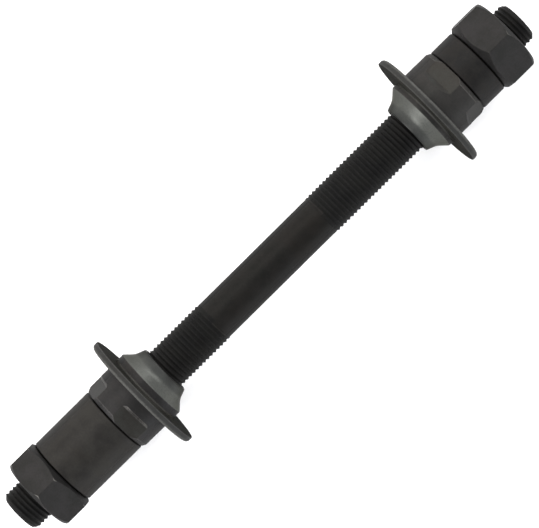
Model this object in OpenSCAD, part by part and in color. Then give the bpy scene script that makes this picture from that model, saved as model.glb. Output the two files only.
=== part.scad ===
// Rear wheel hub axle set: a hollow threaded axle with a bearing cone, a dust cap,
// a spacer and a locknut on each side, screwed up as it is before it goes into a hub.
// The axle lies along Y with its middle at the origin. The drive side, where the
// sprockets go, is towards -Y. Millimetres.

/* [Axle] */
// Outside diameter over the thread crests
thread_d = 9.8; // [9.4:0.05:10.4]
// Advance of the thread in one turn, and length of its run-out to the shank
thread_pitch = 1; // [0.8:0.05:1.25]
// Threaded length at the drive side end
drive_thread_len = 56.4; // [46:0.1:66]
// Threaded length at the other end
other_thread_len = 57.2; // [36:0.1:66]
// Diameter of the plain shank between the threads
shank_d = 9.2; // [8:0.05:9.4]
// Diameter of the hole that the skewer goes through
bore_d = 5.5; // [5.2:0.1:6]
// Size of the 45 degree chamfer on each end of the axle
end_chamfer = 0.9; // [0.4:0.1:1.2]
// Size of the chamfer at each mouth of the skewer hole
mouth_chamfer = 0.4; // [0.1:0.05:0.5]

/* [Stack] */
// Width over the locknuts, which is the gap in the frame that the set fills
over_locknut = 136; // [128:0.5:138]
// How far the axle stands out of the drive side locknut
drive_standout = 5.3; // [3:0.1:8]
// How far the axle stands out of the other locknut
other_standout = 3.7; // [3:0.1:8]

/* [Cones] */
// Length of a cone from its outer end to its nose
cone_len = 14.5; // [13.5:0.1:18]
// Diameter of the body, which carries the dust cap
cone_d = 16.7; // [16:0.1:18]
// Diameter at the nose
nose_d = 11.5; // [11.1:0.05:12]
// Rounding of the nose's rim
nose_round = 0.25; // [0.05:0.05:0.4]
// Slope of the lead-in from the nose, from the axis
lead_angle = 21; // [17:0.5:25]
// Length of the lead-in before the ball track begins
lead_len = 1.5; // [1:0.1:2]
// Radius of the hollow track that the balls run in
track_r = 3.4; // [3.2:0.05:3.6]
// Slope where the track meets the body, from the axis
track_angle = 43.5; // [40:0.5:50]
// Length of the chamfer on the outer end
cone_chamfer_len = 0.9; // [0.3:0.1:1.4]
// Depth of the chamfer on the outer end
cone_chamfer_depth = 0.5; // [0.2:0.05:0.7]

/* [Wrench flats] */
// Width across a pair of wrench flats
flat_width = 15; // [14.5:0.1:15.6]
// Length of each flat from the outer end
flat_len = 3.7; // [3:0.1:4.2]
// Length of the slope that runs out of each flat
flat_runout = 1; // [0.5:0.1:1.3]
// Angle from the top to a flat on the drive side cone
drive_flat_angle = 20.5; // [-45:0.5:45]
// Angle from the top to a flat on the other cone
other_flat_angle = -19.5; // [-45:0.5:45]

/* [Dust caps] */
// Diameter over the rim
cap_d = 27.9; // [24:0.1:30]
// Thickness of the sheet
cap_thick = 1.6; // [1.2:0.05:1.8]
// Radius of the rolled outer corner of the rim
cap_round = 0.5; // [0.2:0.05:0.7]
// Radius of the drawn neck at the hole, on the side of the balls
cap_neck = 0.45; // [0.2:0.05:0.5]
// Distance from the drive side cone's outer end to its cap
drive_cap_set = 7.05; // [6:0.05:7.5]
// Distance from the other cone's outer end to its cap
other_cap_set = 7.6; // [6:0.05:7.7]

/* [Spacers] */
// Outside diameter
spacer_d = 15.8; // [14:0.1:16]
// Inside diameter
spacer_bore_d = 10.5; // [10.45:0.05:12]
// Length on the drive side
drive_spacer_len = 15.5; // [4:0.1:20]
// Length on the other side
other_spacer_len = 6; // [3:0.1:15]
// Chamfer on the edges
spacer_chamfer = 0.3; // [0.1:0.05:0.4]

/* [Locknuts] */
// Width across the flats of the hexagon
nut_width = 16.75; // [16.2:0.05:17.2]
// Thickness on the drive side
drive_nut_thick = 7; // [5:0.1:9]
// Thickness on the other side
other_nut_thick = 8.2; // [5:0.1:9]
// Diameter of the face that bears on the frame
nut_outer_face_d = 16.1; // [14.5:0.1:16.2]
// Length of the outer chamfer at the corners
nut_outer_chamfer = 1.1; // [0.5:0.1:1.5]
// Diameter of the face that bears on the spacer
nut_inner_face_d = 15.2; // [14.5:0.1:16.2]
// Length of the inner chamfer at the corners of the drive side nut
drive_inner_chamfer = 1.2; // [0.5:0.1:2]
// Length of the inner chamfer at the corners of the other nut
other_inner_chamfer = 1.8; // [0.5:0.1:2]
// Size of the countersink at each mouth of the thread
nut_countersink = 0.5; // [0.2:0.05:0.7]
// Angle from the top to a corner of the drive side nut
drive_corner_angle = 1; // [-30:0.5:30]
// Angle from the top to a corner of the other nut
other_corner_angle = 3; // [-30:0.5:30]

/* [Fits] */
// Clearance on the radius between the axle and what is screwed on it
thread_gap = 0.03; // [0.02:0.01:0.08]
// Clearance on the radius between a cone and its dust cap
cap_gap = 0.02; // [0.01:0.01:0.05]

/* [Hidden] */
$fn = 96;
over = 1;
arc_steps = 12;

drive_side = -1;
other_side = 1;

// Places along Y, worked out from the axle's ends inwards
axle_len = drive_standout + over_locknut + other_standout;
drive_face = -axle_len / 2 + drive_standout;
other_face = axle_len / 2 - other_standout;
drive_nut_at = drive_face + drive_nut_thick;
other_nut_at = other_face - other_nut_thick;
drive_spacer_at = drive_nut_at + drive_spacer_len;
other_spacer_at = other_nut_at - other_spacer_len;
drive_cone_at = drive_spacer_at + cone_len;
other_cone_at = other_spacer_at - cone_len;

thread_bore_r = thread_d / 2 + thread_gap;
nut_corner_r = nut_width / sqrt(3);

// The ball track in the profile of a cone: a lead-in slope, an arc that it runs
// into, and a steeper slope that leaves the arc for the body.
lead_start_r = nose_d / 2;
track_start_r = lead_start_r + lead_len * tan(lead_angle);
track_centre = [
    track_start_r + track_r * cos(lead_angle),
    lead_len - track_r * sin(lead_angle)
];
function track_point(angle) = [
    track_centre[0] - track_r * cos(angle),
    track_centre[1] + track_r * sin(angle)
];
track_end = track_point(track_angle);
track_top = track_end[1] + (cone_d / 2 - track_end[0]) / tan(track_angle);

// Puts a piece drawn along +Z on the axle, with its inner end at the place and its
// outer end towards that side's end of the axle. A piece's +X turns to the top.
module on_axle(side, place, angle_from_top) {
    translate([0, place, 0])
        rotate([-90 * side, 0, 0])
            rotate([0, 0, side * (angle_from_top - 90)])
                children();
}

// A ring cut at 45 degrees at both of its mouths
module countersunk_hole(r, from, to, chamfer) {
    rotate_extrude()
        polygon([
            [0, from - over],
            [r + chamfer + over, from - over],
            [r, from + chamfer],
            [r, to - chamfer],
            [r + chamfer + over, to + over],
            [0, to + over]
        ]);
}

// Hollow axle: a thread at each end, a thinner plain shank between them and a
// chamfer on each end. Fine threads are drawn as plain cylinders over the crests.
module axle() {
    half = axle_len / 2;
    r = thread_d / 2;
    shank_from = -half + drive_thread_len;
    shank_to = half - other_thread_len;
    color([0.17, 0.17, 0.17])
        rotate([-90, 0, 0])
            difference() {
                rotate_extrude()
                    polygon([
                        [0, -half],
                        [r - end_chamfer, -half],
                        [r, -half + end_chamfer],
                        [r, shank_from],
                        [shank_d / 2, shank_from + thread_pitch],
                        [shank_d / 2, shank_to - thread_pitch],
                        [r, shank_to],
                        [r, half - end_chamfer],
                        [r - end_chamfer, half],
                        [0, half]
                    ]);
                countersunk_hole(bore_d / 2, -half, half, mouth_chamfer);
            }
}

// Section of a cone from its nose at 0 to its outer end
module cone_section() {
    body_r = cone_d / 2;
    bore_r = thread_bore_r;
    polygon([
        [bore_r + nut_countersink, 0],
        [lead_start_r - nose_round, 0],
        for (i = [1 : 3])
            [
                lead_start_r - nose_round * (1 - sin(30 * i)),
                nose_round * (1 - cos(30 * i))
            ],
        for (i = [0 : arc_steps])
            track_point(lead_angle + i * (track_angle - lead_angle) / arc_steps),
        [body_r, track_top],
        [body_r, cone_len - cone_chamfer_len],
        [body_r - cone_chamfer_depth, cone_len],
        [bore_r + nut_countersink, cone_len],
        [bore_r, cone_len - nut_countersink],
        [bore_r, nut_countersink]
    ]);
}

// What a cutter takes off to leave one wrench flat with its sloping run-out
module flat_cut() {
    reach = cone_d / 2 - flat_width / 2;
    rotate([90, 0, 0])
        translate([0, 0, -cone_d / 2])
            linear_extrude(cone_d)
                polygon([
                    [flat_width / 2, cone_len + over],
                    [flat_width / 2, cone_len - flat_len],
                    [flat_width / 2 + 2 * reach, cone_len - flat_len - 2 * flat_runout],
                    [cone_d, cone_len - flat_len - 2 * flat_runout],
                    [cone_d, cone_len + over]
                ]);
}

// Bearing cone with four wrench flats at its outer end
module cone(side, place, flat_angle) {
    color([0.36, 0.35, 0.34])
        on_axle(side, place, flat_angle)
            difference() {
                rotate_extrude()
                    cone_section();
                for (turn = [0 : 90 : 270])
                    rotate([0, 0, turn])
                        flat_cut();
            }
}

// Stamped dust cap: a flat ring with its outer corner rolled round and a short
// drawn neck at the hole, where it grips the cone
module dust_cap(side, place) {
    rim_r = cap_d / 2;
    hole_r = cone_d / 2 + cap_gap;
    quarter = [0 : 15 : 90];
    color([0.42, 0.42, 0.41])
        on_axle(side, place, 0)
            rotate_extrude()
                polygon([
                    [hole_r, -cap_neck],
                    for (a = quarter)
                        [hole_r + cap_neck * (1 - cos(a)), -cap_neck * (1 - sin(a))],
                    [rim_r, 0],
                    for (a = quarter)
                        [
                            rim_r - cap_round * (1 - cos(a)),
                            cap_thick - cap_round * (1 - sin(a))
                        ],
                    [hole_r, cap_thick]
                ]);
}

// Plain spacer tube that slides over the thread
module spacer(side, place, len) {
    r = spacer_d / 2;
    color([0.33, 0.33, 0.33])
        on_axle(side, place, 0)
            difference() {
                rotate_extrude()
                    polygon([
                        [0, 0],
                        [r - spacer_chamfer, 0],
                        [r, spacer_chamfer],
                        [r, len - spacer_chamfer],
                        [r - spacer_chamfer, len],
                        [0, len]
                    ]);
                countersunk_hole(spacer_bore_d / 2, 0, len, spacer_chamfer);
            }
}

// Hexagon locknut with a chamfer at both ends
module locknut(side, place, thick, inner_chamfer, corner_angle) {
    outer_r = nut_outer_face_d / 2;
    inner_r = nut_inner_face_d / 2;
    outer_slope = nut_outer_chamfer / (nut_corner_r - outer_r);
    inner_slope = inner_chamfer / (nut_corner_r - inner_r);
    widest = nut_corner_r + over;
    color([0.38, 0.38, 0.38])
        on_axle(side, place, corner_angle)
            difference() {
                intersection() {
                    cylinder(r = nut_corner_r, h = thick, $fn = 6);
                    rotate_extrude()
                        polygon([
                            [0, 0],
                            [inner_r, 0],
                            [widest, inner_slope * (widest - inner_r)],
                            [widest, thick - outer_slope * (widest - outer_r)],
                            [outer_r, thick],
                            [0, thick]
                        ]);
                }
                countersunk_hole(thread_bore_r, 0, thick, nut_countersink);
            }
}

axle();
cone(drive_side, drive_cone_at, drive_flat_angle);  // drive_cone
dust_cap(drive_side, drive_spacer_at + drive_cap_set + cap_thick);  // drive_dust_cap
spacer(drive_side, drive_spacer_at, drive_spacer_len);  // drive_spacer
locknut(drive_side, drive_nut_at, drive_nut_thick, drive_inner_chamfer, drive_corner_angle);  // drive_locknut
cone(other_side, other_cone_at, other_flat_angle);  // other_cone
dust_cap(other_side, other_spacer_at - other_cap_set - cap_thick);  // other_dust_cap
spacer(other_side, other_spacer_at, other_spacer_len);  // other_spacer
locknut(other_side, other_nut_at, other_nut_thick, other_inner_chamfer, other_corner_angle);  // other_locknut
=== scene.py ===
import math

import bmesh
import bpy
import numpy as np
from mathutils import Matrix, Vector


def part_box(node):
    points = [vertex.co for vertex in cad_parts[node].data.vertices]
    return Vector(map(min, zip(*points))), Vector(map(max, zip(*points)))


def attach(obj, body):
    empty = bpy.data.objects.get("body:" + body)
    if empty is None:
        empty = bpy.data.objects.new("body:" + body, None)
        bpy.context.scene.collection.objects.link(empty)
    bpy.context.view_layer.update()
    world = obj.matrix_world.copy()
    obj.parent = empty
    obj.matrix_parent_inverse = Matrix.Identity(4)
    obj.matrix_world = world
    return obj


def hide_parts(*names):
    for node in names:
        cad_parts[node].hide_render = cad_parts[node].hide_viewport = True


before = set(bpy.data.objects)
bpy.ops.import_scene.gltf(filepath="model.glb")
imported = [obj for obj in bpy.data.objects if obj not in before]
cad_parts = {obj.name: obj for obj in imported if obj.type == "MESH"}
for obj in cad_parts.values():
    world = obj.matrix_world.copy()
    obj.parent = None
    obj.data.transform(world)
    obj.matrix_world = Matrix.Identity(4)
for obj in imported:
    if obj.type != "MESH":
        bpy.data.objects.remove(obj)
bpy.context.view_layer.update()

MM = 0.001
DRIVE, OTHER = -1, 1

# Sizes, in mm

PITCH = 1.0           # M10 x 1 thread
THREAD_DEPTH = 0.36
CHAMFER = 0.9         # on each end of the axle
BORE_R = 2.75
MOUTH = 0.4
SHANK_R = 4.6


def span(node):
    """A node's lowest and highest place along the axle, in mm."""
    low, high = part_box(node)
    return low.y / MM, high.y / MM


def radius(node):
    """Half of a turned node's width, in mm."""
    low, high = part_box(node)
    return (high.x - low.x) / 2 / MM


# Shapes

def mesh_piece(name, points, faces, zones, wear_and_painted_light, materials, body, nodes):
    """A mesh of world points in mm and quads, with a material for each zone of faces
    and at each point a value that is wear and painted highlights above zero, grime and
    painted shade below zero, riding on a body in place of its CAD nodes."""
    mesh = bpy.data.meshes.new(name)
    mesh.from_pydata((points * MM).tolist(), [], faces.tolist())
    for material in materials:
        mesh.materials.append(material)
    mesh.polygons.foreach_set("material_index", zones.astype(np.int32))
    mesh.attributes.new("wear_and_painted_light", "FLOAT", "POINT").data.foreach_set(
        "value", wear_and_painted_light.astype(np.float32)
    )
    shell = bmesh.new()
    shell.from_mesh(mesh)
    bmesh.ops.remove_doubles(shell, verts=shell.verts, dist=1e-6)
    bmesh.ops.dissolve_degenerate(shell, edges=shell.edges, dist=1e-7)
    bmesh.ops.recalc_face_normals(shell, faces=shell.faces)
    shell.to_mesh(mesh)
    shell.free()
    mesh.polygons.foreach_set("use_smooth", np.ones(len(mesh.polygons), bool))
    mesh.set_sharp_from_angle(angle=math.radians(50))
    piece = bpy.data.objects.new(name, mesh)
    bpy.context.collection.objects.link(piece)
    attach(piece, body)
    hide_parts(*nodes)
    return piece


def around_axle(r, y, angle):
    """Points at radius r and place y, at an angle from the top towards +X."""
    return np.stack([r * np.sin(angle), y, r * np.cos(angle)], axis=-1)


def ring_faces(rows, columns):
    """Quads of a grid that closes on itself both ways, as a tube bent into a ring."""
    i, j = np.meshgrid(np.arange(rows), np.arange(columns), indexing="ij")
    up, on = (i + 1) % rows, (j + 1) % columns
    return np.stack(
        [i * columns + j, up * columns + j, up * columns + on, i * columns + on],
        axis=-1,
    ).reshape(-1, 4)


def eased(profile, columns):
    """Rows, wear and painted light, and zones of a closed profile whose corners are broken.
    Each corner is (radius, place, ease, worn amount, zone, tone), any of which may differ
    from column to column; zone and tone belong to the side that follows the corner. A corner
    with an ease becomes three points of a small curve that leaves its two sides at that
    distance, (start + 2 corner + end) / 4 in its middle, with one more row further out on
    each side to keep the faces beside it flat. The value at each row is the side's tone
    plus the worn amount times how sharply the profile turns there: above zero it is wear
    and painted highlights, below zero it is grime and painted shade in a joint."""
    one = np.ones(columns)
    at = np.array([[r * one, y * one] for r, y, *_ in profile]).transpose(0, 2, 1)
    zone, tone = (np.array([row[n] * one for row in profile]) for n in (4, 5))
    back, ahead = np.roll(at, 1, axis=0) - at, np.roll(at, -1, axis=0) - at
    back_len = np.linalg.norm(back, axis=-1, keepdims=True)
    ahead_len = np.linalg.norm(ahead, axis=-1, keepdims=True)
    back, ahead = back / np.maximum(back_len, 1e-9), ahead / np.maximum(ahead_len, 1e-9)
    bend = np.arccos(np.clip(-(back * ahead).sum(-1), -1, 1))
    bend = bend * (np.minimum(back_len, ahead_len)[..., 0] > 0.01)
    rows, wear_and_light_rows, zones = [], [], []
    for k, (_, _, ease, worn_and_painted_light, _, _) in enumerate(profile):
        if np.all(ease == 0):
            rows.append(at[k])
            wear_and_light_rows.append(tone[k] + worn_and_painted_light)
            zones.append(zone[k])
            continue
        start = at[k] + back[k] * np.minimum(ease, 0.3 * back_len[k])
        end = at[k] + ahead[k] * np.minimum(ease, 0.3 * ahead_len[k])
        first = at[k] + back[k] * np.minimum(2.6 * ease, 0.48 * back_len[k])
        last = at[k] + ahead[k] * np.minimum(2.6 * ease, 0.48 * ahead_len[k])
        rub_and_painted_light = worn_and_painted_light * np.clip(bend[k] / 0.7, 0, 1)
        rows += [first, start, (start + 2 * at[k] + end) / 4, end, last]
        wear_and_light_rows += [tone[k - 1], tone[k - 1] + 0.6 * rub_and_painted_light, (tone[k - 1] + tone[k]) / 2 + rub_and_painted_light,
                  tone[k] + 0.6 * rub_and_painted_light, tone[k]]
        zones += [zone[k - 1]] * 2 + [zone[k]] * 3
    return np.array(rows), np.array(wear_and_light_rows), np.array(zones)


def ring(name, profile, angle, place, side, materials, body, node):
    """A ring round the axle: a closed profile, its places measured outwards from the
    piece's inner end, carried round at each column's angle from the top."""
    m = len(angle)
    rows, wear_and_painted_light, zones = eased(profile, m)
    points = around_axle(rows[..., 0], place + side * rows[..., 1],
                         np.broadcast_to(angle, rows.shape[:2]))
    return mesh_piece(name, points.reshape(-1, 3), ring_faces(len(rows), m),
                      zones.reshape(-1), wear_and_painted_light.reshape(-1), materials, body, [node])


def even_angles(columns):
    """Angles of equal columns round the axle."""
    return np.arange(columns) * 2 * np.pi / columns


# Materials

def linear(hex_colour):
    """Linear RGBA of an sRGB hex colour."""
    c = np.array([int(hex_colour[i : i + 2], 16) for i in (1, 3, 5)]) / 255
    c = np.where(c <= 0.04045, c / 12.92, ((c + 0.055) / 1.055) ** 2.4)
    return (*c.tolist(), 1.0)


def add(tree, kind, values=None, links=None, **settings):
    """Adds a node with its settings, its inputs' values and its inputs' links."""
    made = tree.nodes.new(kind)
    for key, value in settings.items():
        setattr(made, key, value)
    for key, value in (values or {}).items():
        made.inputs[key].default_value = value
    for key, source in (links or {}).items():
        tree.links.new(source, made.inputs[key])
    return made


def steel(name, dark, light, worn_and_painted_light, roughness, spread, lathe, lathe_depth, grain_depth,
          paler_from=0.15, stain="#2a2220", stain_share=0.25, metallic=0.6, rim="#5a5a5a"):
    """Blackened or ground steel: cloudy colour between dark and light, brown stains,
    fine rings left by the lathe or the grinder (lathe is their spacing in mm), a
    grain of the finish, bare metal where an edge is worn, painted highlights in the same
    worn colour, and grime with painted shade in the joints. Real
    rings and grain are too fine to show at this size, so they are drawn coarser."""
    material = bpy.data.materials.new(name)
    material.use_nodes = True
    tree = material.node_tree
    shader = tree.nodes["Principled BSDF"]
    place = add(tree, "ShaderNodeTexCoord").outputs["Object"]
    apart = add(tree, "ShaderNodeSeparateXYZ", links={0: place})
    across = add(tree, "ShaderNodeCombineXYZ", links={0: apart.outputs["X"], 1: apart.outputs["Z"]})
    distance = add(tree, "ShaderNodeVectorMath", links={0: across.outputs[0]}, operation="LENGTH")
    # distance from the axis plus place along it is the same all round, so a noise of it
    # draws rings; a slow waver keeps them from being perfect
    waver = add(tree, "ShaderNodeTexNoise", {"Scale": 350.0, "Detail": 1.0}, {"Vector": place})
    along = add(tree, "ShaderNodeMath", links={0: distance.outputs["Value"], 1: apart.outputs["Y"]})
    shifted = add(tree, "ShaderNodeMath", {1: 0.00006},
                  {0: waver.outputs["Fac"], 2: along.outputs[0]}, operation="MULTIPLY_ADD")
    rings = add(tree, "ShaderNodeTexNoise",
                {"Scale": 1 / (lathe * MM), "Detail": 2.0, "Roughness": 0.6},
                {"W": shifted.outputs[0]}, noise_dimensions="1D")
    clouds = add(tree, "ShaderNodeTexNoise", {"Scale": 260.0, "Detail": 4.0, "Roughness": 0.62},
                 {"Vector": place})
    grain = add(tree, "ShaderNodeTexNoise", {"Scale": 2600.0, "Detail": 2.0, "Roughness": 0.7},
                {"Vector": place})
    patches = add(tree, "ShaderNodeTexNoise", {"Scale": 120.0, "Detail": 3.0, "Distortion": 0.4},
                  {"Vector": place})
    mottle = add(tree, "ShaderNodeMath", {1: 0.4},
                 {0: grain.outputs["Fac"], 2: clouds.outputs["Fac"]}, operation="MULTIPLY_ADD")
    tone = add(tree, "ShaderNodeMapRange", {1: 0.54, 2: 0.86}, {0: mottle.outputs[0]})
    colour = add(tree, "ShaderNodeMix", {6: linear(dark), 7: linear(light)},
                 {0: tone.outputs[0]}, data_type="RGBA")
    stained = add(tree, "ShaderNodeMapRange", {1: 0.5, 2: 0.72, 3: 0.0, 4: stain_share},
                  {0: patches.outputs["Fac"]})
    browned = add(tree, "ShaderNodeMix", {7: linear(stain)},
                  {0: stained.outputs[0], 6: colour.outputs[2]}, data_type="RGBA")
    speck = add(tree, "ShaderNodeMapRange", {1: 0.3, 2: 0.7, 3: -0.35, 4: 0.35},
                {0: grain.outputs["Fac"]})
    # the point value from the mesh: above zero it mixes in the worn colour, for bare metal and
    # painted highlights; below zero it mixes in near black, for grime and painted shade
    edge = add(tree, "ShaderNodeAttribute", attribute_name="wear_and_painted_light")
    painted_light_and_wear = add(tree, "ShaderNodeMath", links={0: speck.outputs[0], 1: edge.outputs["Fac"],
                 2: edge.outputs["Fac"]}, operation="MULTIPLY_ADD")
    bare_and_highlight = add(tree, "ShaderNodeMapRange", {1: paler_from, 2: 1.1}, {0: painted_light_and_wear.outputs[0]})
    bare_and_highlight_colour = add(tree, "ShaderNodeMix", {7: linear(worn_and_painted_light)},
                      {0: bare_and_highlight.outputs[0], 6: browned.outputs[2]}, data_type="RGBA")
    # near black where the value is below zero: grime and painted shade in the joints
    grime_and_painted_shade = add(tree, "ShaderNodeMapRange", {1: -0.1, 2: -0.9}, {0: painted_light_and_wear.outputs[0]})
    painted = add(tree, "ShaderNodeMix", {7: linear("#0b0a09")},
                  {0: grime_and_painted_shade.outputs[0], 6: bare_and_highlight_colour.outputs[2]}, data_type="RGBA")
    gloss = add(tree, "ShaderNodeMapRange",
                {1: 0.3, 2: 0.7, 3: roughness - spread, 4: roughness + spread},
                {0: clouds.outputs["Fac"]})
    lines = add(tree, "ShaderNodeBump", {"Strength": lathe_depth, "Distance": 0.00002},
                {"Height": rings.outputs["Fac"]})
    rough = add(tree, "ShaderNodeBump", {"Strength": grain_depth, "Distance": 0.00004},
                {"Height": grain.outputs["Fac"], "Normal": lines.outputs[0]})
    shader.inputs["Metallic"].default_value = metallic
    shader.inputs["Specular Tint"].default_value = linear(rim)
    for socket, source in (("Base Color", painted.outputs[2]), ("Roughness", gloss.outputs[0]),
                           ("Normal", rough.outputs[0])):
        tree.links.new(source, shader.inputs[socket])
    return material


# Medium carbon steel, thread rolled, then hot blackened: near black roots under a film
# of oil, and crests rubbed to a duller grey line by the parts screwed over them.
rolled_thread = steel("rolled_blackened_steel", "#151515", "#1b1b1a", "#212120", 0.6, 0.06,
                      0.12, 0.15, 0.25, paler_from=0.35, stain="#161412", rim="#333333")
# The drawn bar between the threads keeps a smoother, slightly paler black.
drawn_bar = steel("drawn_blackened_steel", "#171716", "#1d1c1b", "#2d2b29", 0.5, 0.06,
                  0.35, 0.2, 0.3, stain="#1a1714", rim="#333333")
# Case hardened bearing steel, turned and milled, then blackened: brownish black with
# lighter, glossier rubbed edges.
hardened_cone = steel("hardened_blackened_steel", "#232323", "#2c2b2b", "#5d5c5a", 0.5, 0.08,
                      0.25, 0.3, 0.3, stain="#262320", rim="#414141")
# The other cone has come out of the blackening bath a shade paler.
paler_cone = steel("hardened_paler_steel", "#262625", "#2f2e2d", "#5f5e5b", 0.5, 0.08,
                   0.25, 0.3, 0.3, stain="#2a2623", rim="#414141")
# The spanner flats are milled across, smoother than the turned body.
milled_flat = steel("milled_blackened_steel", "#272624", "#2e2e2c", "#5e5c5a", 0.4, 0.05,
                    0.4, 0.12, 0.2, stain="#2a2523", rim="#505050")
# The other cone's flats are duller, like the rest of it.
dull_flat = steel("milled_dull_steel", "#272624", "#2e2e2c", "#5e5c5a", 0.46, 0.05,
                  0.4, 0.12, 0.2, stain="#2a2523", rim="#363636")
# The ball track is ground after hardening, so it is bare, bright and finely ringed.
ground_track = steel("ground_bearing_steel", "#353635", "#3e3f3d", "#4c4d4a", 0.42, 0.05,
                     0.1, 0.35, 0.12, paler_from=0.0, stain="#2f2e2c", stain_share=0.3,
                     metallic=1.0, rim="#b8b8b6")
# Sheet steel, stamped and phosphate blackened: even mid grey, duller than the cones.
stamped_sheet = steel("stamped_phosphated_steel", "#2a2a29", "#323231", "#585855", 0.6, 0.06,
                      0.5, 0.15, 0.4, stain="#262423", rim="#383838")
# The side of the cap towards the balls has a paler base colour but a dark rim tint that takes away
# its reflection at grazing angles: painted shade for the shade under the cap.
shaded_inside_sheet = steel("stamped_steel_inside_painted_shade", "#343432", "#3f3e3b", "#464642", 0.6, 0.06,
                      0.5, 0.15, 0.4, stain="#2a2926", metallic=1.0, rim="#202020")
# Free-cutting steel tube, turned and blackened; the shorter one has kept a deeper black.
turned_tube = steel("turned_blackened_steel", "#232221", "#2b2a28", "#3b3937", 0.52, 0.07,
                    0.2, 0.45, 0.25, stain="#25221e", rim="#414141")
dark_tube = steel("turned_black_oxide_steel", "#1b1b1b", "#232221", "#343231", 0.52, 0.07,
                  0.2, 0.45, 0.25, stain="#1e1b18", rim="#414141")
# Hexagon bar, turned at the ends and blackened: smooth rolled flats, worn chamfer edges, and
# painted glints at the corners.
hexagon_bar = steel("hexagon_blackened_steel", "#222221", "#2a2929", "#656460", 0.5, 0.07,
                    0.3, 0.25, 0.25, stain="#23211f", rim="#414141")


# Axle

def axle():
    """A helical sheet: row i, column j lies at place y = pitch x (i / n + angle / turn),
    clipped to the axle's ends, with the radius of the thread's section at i / n. After a
    turn a row meets the one n further on, so the thread closes on itself. The radius is
    drawn to the plain shank between the threads and is held under each end's chamfer."""
    start, end = span("axle")
    crest = radius("axle")
    root = crest - THREAD_DEPTH
    # share of a pitch and height above the root: crest, flank, rounded root, flank
    section = np.array([[0.0, 0.78], [0.06, 0.85], [0.12, 0.78], [0.44, 0.08], [0.53, -0.06],
                        [0.62, 0.02], [0.68, 0.08]])
    n, m = len(section), 72
    count = n * int(round((end - start) / PITCH + 1)) + 1
    i = np.arange(count)
    angle = np.arange(m) * 2 * np.pi / m
    base = start + PITCH * (i // n - 1 + section[i % n, 0])
    y = np.clip(base[:, None] + PITCH * angle[None, :] / (2 * np.pi), start, end)
    thread = root + (crest - root) * section[i % n, 1]
    drive_thread_end, other_thread_end = -16.1, 15.3
    run_out = 1.6
    plain = np.clip(np.minimum(y - drive_thread_end, other_thread_end - y) / run_out + 0.5, 0, 1)
    plain = plain * plain * (3 - 2 * plain)
    r = thread[:, None] * (1 - plain) + SHANK_R * plain
    bevel = crest - CHAMFER + np.minimum(y - start, end - y)
    wear_and_painted_light = np.repeat(np.clip(section[i % n, 1], 0, 1)[:, None], m, axis=1) ** 3
    wear_and_painted_light = wear_and_painted_light * (1 - plain)
    r = np.minimum(r, bevel)
    outer = around_axle(r, y, np.broadcast_to(angle, y.shape)).reshape(-1, 3)
    k, j = np.meshgrid(np.arange(count - 1), np.arange(m), indexing="ij")
    last = j == m - 1
    on = np.where(last, 0, j + 1)
    low = np.where(last, np.minimum(k + n, count - 1), k)
    high = np.where(last, np.minimum(k + n + 1, count - 1), k + 1)
    faces = np.stack([k * m + j, (k + 1) * m + j, high * m + on, low * m + on], -1)
    zones = np.where(plain[:-1].mean(axis=1) > 0.5, 1, 0)[:, None] * np.ones(m, int)
    # end face, chamfered mouth and skewer hole, back to the first row
    inner = np.array([
        [crest - CHAMFER, end], [crest - CHAMFER - 0.12, end], [BORE_R + MOUTH + 0.08, end],
        [BORE_R + MOUTH, end - 0.03], [BORE_R, end - MOUTH], [BORE_R, end - 3 * MOUTH],
        [BORE_R, start + 3 * MOUTH], [BORE_R, start + MOUTH],
        [BORE_R + MOUTH, start + 0.03], [BORE_R + MOUTH + 0.08, start],
        [crest - CHAMFER - 0.12, start], [crest - CHAMFER, start],
    ])
    inside = around_axle(inner[:, :1] + 0 * angle, inner[:, 1:] + 0 * angle,
                         angle[None, :] + 0 * inner[:, :1])
    a, b = np.meshgrid(np.arange(len(inner) - 1), np.arange(m), indexing="ij")
    step = (b + 1) % m
    bore = count * m + np.stack([a * m + b, (a + 1) * m + b, (a + 1) * m + step, a * m + step], -1)
    points = np.concatenate([outer, inside.reshape(-1, 3)])
    quads = np.concatenate([faces.reshape(-1, 4), bore.reshape(-1, 4)])
    zone = np.concatenate([zones.reshape(-1), np.ones(bore.shape[0] * m, int)])
    worn_and_painted_light = np.concatenate([wear_and_painted_light.reshape(-1), np.zeros(len(inner) * m)])
    return mesh_piece("hollow_axle", points, quads, zone, worn_and_painted_light, [rolled_thread, drawn_bar],
                      "axle", ["axle"])


# Cones

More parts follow.
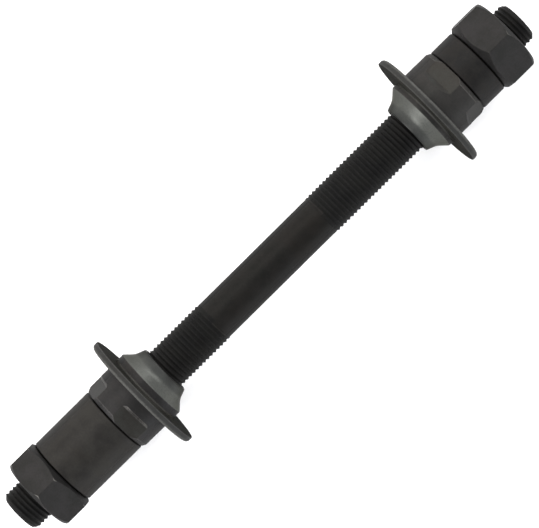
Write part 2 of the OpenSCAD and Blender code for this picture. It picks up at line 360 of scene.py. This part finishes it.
def cone(prefix, side, flat_angle):
    """Bearing cone. Its profile is a lead-in slope, a hollow ball track and a straight
    body; on four sides the body is cut by a flat at distance h from the axis, so its
    radius there is h / cos(angle from the flat's middle), and a slope runs the flat out."""
    low, high = span(prefix + "_cone")
    length = high - low
    place = high if side == DRIVE else low
    body_r, nose_r, flat_h = radius(prefix + "_cone"), 5.75, 7.5
    bore_r, sink = 4.93, 0.5
    flat_len, runout, rise = 3.7, 1.0, 0.8
    lead, chamfer_in, chamfer_long = 1.5, 0.5, 0.9
    edge = math.degrees(math.acos(flat_h / body_r))
    rim = math.degrees(math.acos(flat_h / (body_r - chamfer_in)))
    quarter = np.unique(np.round(np.concatenate([
        np.linspace(-rim, rim, 17), [-edge, -edge + 0.7, -edge - 0.7, edge, edge - 0.7, edge + 0.7],
        np.linspace(-edge, -rim, 7), np.linspace(rim, edge, 7),
        np.linspace(edge + 0.7, 90 - edge - 0.7, 18)]), 6))
    quarter = quarter[(quarter >= -edge - 0.7) & (quarter < 90 - edge - 0.75)]
    local = np.concatenate([quarter + 90 * k for k in range(4)])
    away = np.radians(np.minimum(np.abs((local + 45) % 90 - 45), edge))
    flat_r = np.minimum(flat_h / np.cos(away), body_r)
    # how far the slope beyond the flat runs before it leaves the body: at the drive side
    # a short step of one length, at the other side longer where the flat is deeper
    depth = np.clip(body_r * np.cos(away) - flat_h, 0, None)
    tail = 0.6 * np.clip(depth / 0.25, 0, 1) if side == DRIVE else depth / rise * runout
    chamfer_r = body_r - chamfer_in
    rim_r = np.minimum(chamfer_r, flat_r)
    chamfer_end = length - np.clip(flat_r - chamfer_r, 0, None) * chamfer_long / chamfer_in
    slope = math.radians(21)
    track_r, steep = 3.4, math.radians(43.5)
    x0 = nose_r + lead * math.tan(slope)
    centre = np.array([x0 + track_r * math.cos(slope), lead - track_r * math.sin(slope)])
    arc = np.linspace(slope, steep, 15)
    track = np.stack([centre[0] - track_r * np.cos(arc), centre[1] + track_r * np.sin(arc)], -1)
    top = track[-1, 1] + (body_r - track[-1, 0]) / math.tan(steep)
    black, ground, milled = 0, 1, 2
    on_flat = np.abs((local + 45) % 90 - 45) <= edge
    cut = np.where(on_flat, milled, black)
    # the balls have rubbed the hollow brighter than the slope that leads into it; the brighter band
    # is also set along the arc as a painted highlight
    polish_and_highlight = np.clip(np.linspace(0.2, 2.2, len(arc)), 0, 1)
    profile = [(bore_r, sink, 0.08, 0, black, 0), (bore_r + sink, 0, 0.06, 0, ground, 0),
               # the nose's corner is darkened below zero: grime and painted shade where the cone
               # meets the thread
               (nose_r, 0, 0.35, -0.3, ground, 0)]
    profile += [(r, y, 0, 0, ground, w) for (r, y), w in zip(track, polish_and_highlight)]
    profile += [
        (body_r, top, 0.1, 0, black, 0),
        (body_r, length - flat_len - 1.4, 0, 0, black, 0),
        # painted highlight: the slope that runs each flat out is lightened towards the worn colour,
        # more on the drive cone
        (body_r, length - flat_len - tail, 0.06, 0, cut,
         (0.5 if side == DRIVE else 0.12) * on_flat),
        (flat_r, length - flat_len, 0.08, 0, cut, 0),
        (flat_r, chamfer_end, 0.1, 0.4, black, 0.2),
        # the outer end's corner and face are darkened below zero: grime and painted shade where the
        # cone meets the spacer
        (rim_r, length, 0.14, -0.8, black, -0.6),
        (bore_r + sink, length, 0.08, 0, black, 0),
        (bore_r, length - sink, 0.08, 0, black, 0),
    ]
    return ring(prefix + "_bearing_cone", profile, np.radians(local + flat_angle), place, side,
                [hardened_cone, ground_track, milled_flat] if side == DRIVE else
                [paler_cone, ground_track, dull_flat],
                prefix + "_cone", prefix + "_cone")


# Caps, spacers

def dust_cap(prefix, side):
    """Stamped ring: flat sheet, a rolled outer corner and a short drawn neck, turned."""
    low, high = span(prefix + "_dust_cap")
    rim_r = radius(prefix + "_dust_cap")
    neck, thick, hole_r = 0.45, high - low - 0.45, radius(prefix + "_cone") + 0.02
    place = high - neck if side == DRIVE else low + neck
    rolled = 0.8
    quarter = np.linspace(0, math.pi / 2, 9)
    sheet, inside = 0, 1
    profile = [(hole_r, -neck, 0.08, 0, inside, 0)]
    profile += [(hole_r + neck * (1 - math.cos(a)), -neck * (1 - math.sin(a)), 0, 0, inside, 0)
                for a in quarter[1:]]
    # painted highlights: the rim's inner corner and the middle of the rolled outer corner are
    # lightened towards the worn colour
    profile += [(rim_r, 0, 0.3, 0.4, sheet, 0)]
    profile += [(rim_r - rolled * (1 - math.cos(a)), thick - rolled * (1 - math.sin(a)), 0,
                 0.65 * math.sin(2 * a), sheet, 0) for a in quarter]
    # the corner at the hole is darkened below zero: grime and painted shade where the cap meets the
    # cone
    profile += [(hole_r, thick, 0.12, -0.6, inside, 0)]
    return ring(prefix + "_stamped_cap", profile, even_angles(160), place, side,
                [stamped_sheet, shaded_inside_sheet], prefix + "_cap", prefix + "_dust_cap")


def spacer(prefix, side):
    """Turned tube with broken edges; its outer chamfers are darkened below zero, grime and painted
    shade in the joints.
    """
    low, high = span(prefix + "_spacer")
    r, bore_r, length, c = radius(prefix + "_spacer"), 5.25, high - low, 0.3
    place = high if side == DRIVE else low
    profile = [(x, y, 0.08, g, 0, t) for x, y, g, t in (
        (bore_r, c, 0, 0), (bore_r + c, 0, 0, 0), (r - c, 0, -0.8, -0.8), (r, c, -0.4, 0),
        (r, length - c, -0.4, -0.8), (r - c, length, -0.8, 0), (bore_r + c, length, 0, 0),
        (bore_r, length - c, 0, 0))]
    return ring(prefix + "_turned_spacer", profile, even_angles(144), place, side,
                [turned_tube if side == DRIVE else dark_tube], prefix + "_spacer",
                prefix + "_spacer")


# Locknuts

def locknut(prefix, side, corner_angle, inner_chamfer, corner_glint):
    """Hexagon nut. Radius of the hexagon at an angle from a flat's middle is
    half width / cos(angle), rounded to a small arc at each corner, and a cone at each
    end cuts the corners back: where the cone meets the hexagon, place = (hexagon
    radius - face radius) x slope."""
    low, high = span(prefix + "_locknut")
    thick = high - low
    place = high if side == DRIVE else low
    width, soft = 16.75, 0.3
    half = width / 2
    centre_r = (half - soft) / math.cos(math.pi / 6)
    inner_face, outer_face = 7.6, 8.05
    corner_r = width / math.sqrt(3)
    inner_slope = inner_chamfer / (corner_r - inner_face)
    outer_slope = 1.1 / (corner_r - outer_face)
    # close columns near the corners, wide ones over the flats
    sixth = np.concatenate([np.linspace(0, 1.4, 6), np.linspace(2.2, 57.8, 34),
                            np.linspace(58.6, 59.72, 5)])
    local = np.concatenate([sixth + 60 * k for k in range(6)])
    from_corner = np.radians(np.abs((local + 30) % 60 - 30))
    flat_r = half / np.cos(np.radians(30) - from_corner)
    reach = centre_r * np.sin(from_corner)
    arc_r = centre_r * np.cos(from_corner) + np.sqrt(np.maximum(soft ** 2 - reach ** 2, 0))
    hexagon = np.where(reach < soft * math.sin(math.pi / 6), arc_r, flat_r)
    # painted glint: near each corner the chamfers' edges are lightened towards the worn colour,
    # strongest on the drive nut
    painted_light_and_wear = np.exp(-(from_corner / math.radians(3)) ** 2)
    bore_r, sink = 4.93, 0.5
    profile = [
        (bore_r, sink, 0.06, 0, 0, 0), (bore_r + sink, 0, 0.06, 0, 0, 0),
        # the inner face's corner is darkened below zero: grime and painted shade where the nut
        # meets the spacer
        (inner_face, 0, 0.15, -0.8, 0, 0),
        (hexagon, (hexagon - inner_face) * inner_slope, 0.08, corner_glint * painted_light_and_wear, 0, 0),
        (hexagon, thick - (hexagon - outer_face) * outer_slope, 0.08,
         0.15 + corner_glint * painted_light_and_wear, 0, 0.1),
        (outer_face, thick, 0.1, 0.25, 0, 0), (bore_r + sink, thick, 0.08, 0.1, 0, 0),
        (bore_r, thick - sink, 0.06, 0, 0, 0),
    ]
    return ring(prefix + "_hexagon_locknut", profile, np.radians(local + corner_angle),
                place, side, [hexagon_bar], prefix + "_locknut", prefix + "_locknut")


axle()
for prefix, side, flat_angle, corner_angle, inner_chamfer, corner_glint in (
    ("drive", DRIVE, 20.5, 1.0, 1.2, 1.0),
    ("other", OTHER, -19.5, 3.0, 1.8, 0.4),
):
    cone(prefix, side, flat_angle)
    dust_cap(prefix, side)
    spacer(prefix, side)
    locknut(prefix, side, corner_angle, inner_chamfer, corner_glint)


# Studio

def studio():
    """A pale floor under the caps' rims, soft lights and an even pale sky."""
    scene = bpy.context.scene
    scene.view_settings.view_transform = "Standard"
    floor_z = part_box("drive_dust_cap")[0].z
    side_m = 3.0
    grid = np.linspace(-side_m, side_m, 5)
    x, y = np.meshgrid(grid, grid, indexing="ij")
    points = np.stack([x, y, np.full_like(x, floor_z - 0.0001)], -1).reshape(-1, 3)
    k, j = np.meshgrid(np.arange(4), np.arange(4), indexing="ij")
    faces = np.stack([k * 5 + j, (k + 1) * 5 + j, (k + 1) * 5 + j + 1, k * 5 + j + 1], -1)
    mesh = bpy.data.meshes.new("paper_floor")
    mesh.from_pydata(points.tolist(), [], faces.reshape(-1, 4).tolist())
    floor = bpy.data.objects.new("paper_floor", mesh)
    bpy.context.collection.objects.link(floor)
    paper = bpy.data.materials.new("white_paper")
    paper.use_nodes = True
    shader = paper.node_tree.nodes["Principled BSDF"]
    shader.inputs["Base Color"].default_value = linear("#fdfdfd")
    shader.inputs["Roughness"].default_value = 0.9
    mesh.materials.append(paper)

    world = bpy.data.worlds.new("studio")
    scene.world = world
    world.use_nodes = True
    sky = world.node_tree.nodes["Background"]
    sky.inputs["Color"].default_value = linear("#fcfdff")
    sky.inputs["Strength"].default_value = 1.38

    for name, spot, size, watts, colour in (
        ("soft_key", (-0.46, 0.0, 0.66), 0.4, 3.68, "#fffaf5"),
        ("low_key", (-0.8, 0.0, 0.07), 0.4, 2.67, "#fff6ec"),
        ("low_fill", (0.8, 0.0, 0.07), 0.4, 2.54, "#f6f9ff"),
        ("low_drive_end", (-0.1, -0.7, 0.16), 0.3, 2.03, "#ffffff"),
        ("low_other_end", (-0.3, 0.65, 0.16), 0.3, 1.27, "#ffffff"),
        ("high_drive_end", (0.0, -0.6, 0.42), 0.3, 1.27, "#ffffff"),
        ("high_other_end", (0.0, 0.6, 0.42), 0.3, 0.89, "#ffffff"),
    ):
        lamp = bpy.data.lights.new(name, "AREA")
        lamp.size = size
        lamp.energy = watts
        lamp.color = linear(colour)[:3]
        holder = bpy.data.objects.new(name, lamp)
        holder.location = spot
        holder.rotation_mode = "QUATERNION"
        holder.rotation_quaternion = (-Vector(spot)).to_track_quat("-Z", "Y")
        bpy.context.collection.objects.link(holder)


def camera():
    """The photograph's view: almost straight down, the axle running up to the right."""
    roll = math.radians(45.34)
    tilt = math.radians(0.5)
    distance = 0.534
    aim = Vector((-0.34, 0.49, 0)) * MM
    back = Vector((0, math.sin(tilt), math.cos(tilt)))
    up = Vector((-math.sin(roll), math.cos(roll), 0))
    right = up.cross(back).normalized()
    up = back.cross(right)
    lens = bpy.data.cameras.new("camera")
    lens.sensor_width = 36
    lens.lens = 172.6
    lens.clip_start, lens.clip_end = 0.01, 10
    holder = bpy.data.objects.new("camera", lens)
    holder.matrix_world = Matrix.Translation(aim + back * distance) @ Matrix(
        (right, up, back)).transposed().to_4x4()
    bpy.context.collection.objects.link(holder)
    bpy.context.scene.camera = holder


studio()
camera()
